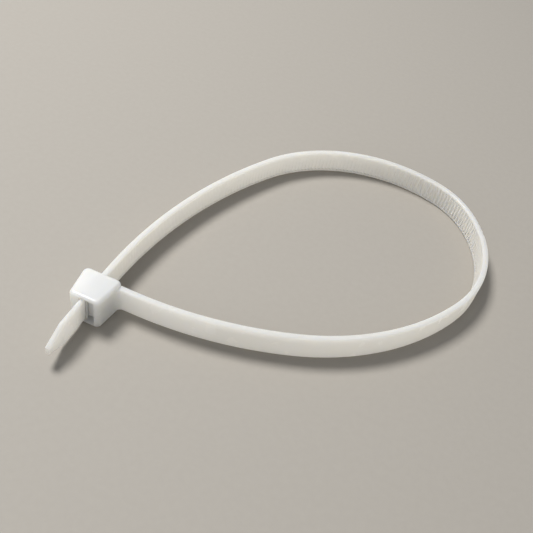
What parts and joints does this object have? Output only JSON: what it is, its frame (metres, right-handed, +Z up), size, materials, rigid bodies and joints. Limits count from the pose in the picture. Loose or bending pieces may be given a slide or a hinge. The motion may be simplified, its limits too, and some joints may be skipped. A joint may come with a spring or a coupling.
{
  "type": "cable tie",
  "caption": "Natural nylon cable tie closed on itself in a loose teardrop loop, with a toothed inner face, locking head and short tapered tail.",
  "frame": {"origin": "under the middle of the tie's box, on the surface it lies on", "axes": "+Z up, across the strap's width; +X along the strap where it leaves the head; the tail points to -Y"},
  "size_m": [0.062, 0.0744, 0.0063],
  "materials": {
    "natural_nylon": "natural uncoloured nylon, milky and slightly translucent, satin"
  },
  "bodies": {
    "root": {"cable_tie": "natural_nylon"}
  },
  "joints": []
}
